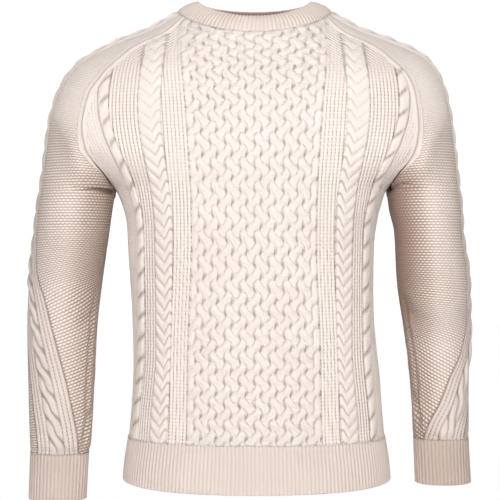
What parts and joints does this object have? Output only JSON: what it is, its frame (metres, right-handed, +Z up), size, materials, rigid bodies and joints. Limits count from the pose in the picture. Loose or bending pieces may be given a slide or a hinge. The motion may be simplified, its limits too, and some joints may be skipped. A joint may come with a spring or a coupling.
{
  "type": "cable knit sweater",
  "caption": "Crew-neck cable knit sweater with long saddle sleeves and ribbed neckband, hem and cuffs, hollow and held in its worn form.",
  "frame": {"origin": "between the shoulders, level with the base of the neckband at its sides", "axes": "+Z up to the neck, -Y out of the front, +X to the wearer's left"},
  "size_m": [0.6429, 0.25, 0.713],
  "materials": {
    "cable_knit": "matte soft wool knit",
    "rib_knit": "matte ribbed wool knit"
  },
  "bodies": {
    "root": {"front": "cable_knit", "back": "cable_knit", "sleeve_right": "cable_knit", "sleeve_left": "cable_knit", "neckband": "rib_knit", "hem_rib_front": "rib_knit", "hem_rib_back": "rib_knit", "cuff_right": "rib_knit", "cuff_left": "rib_knit"}
  },
  "joints": []
}
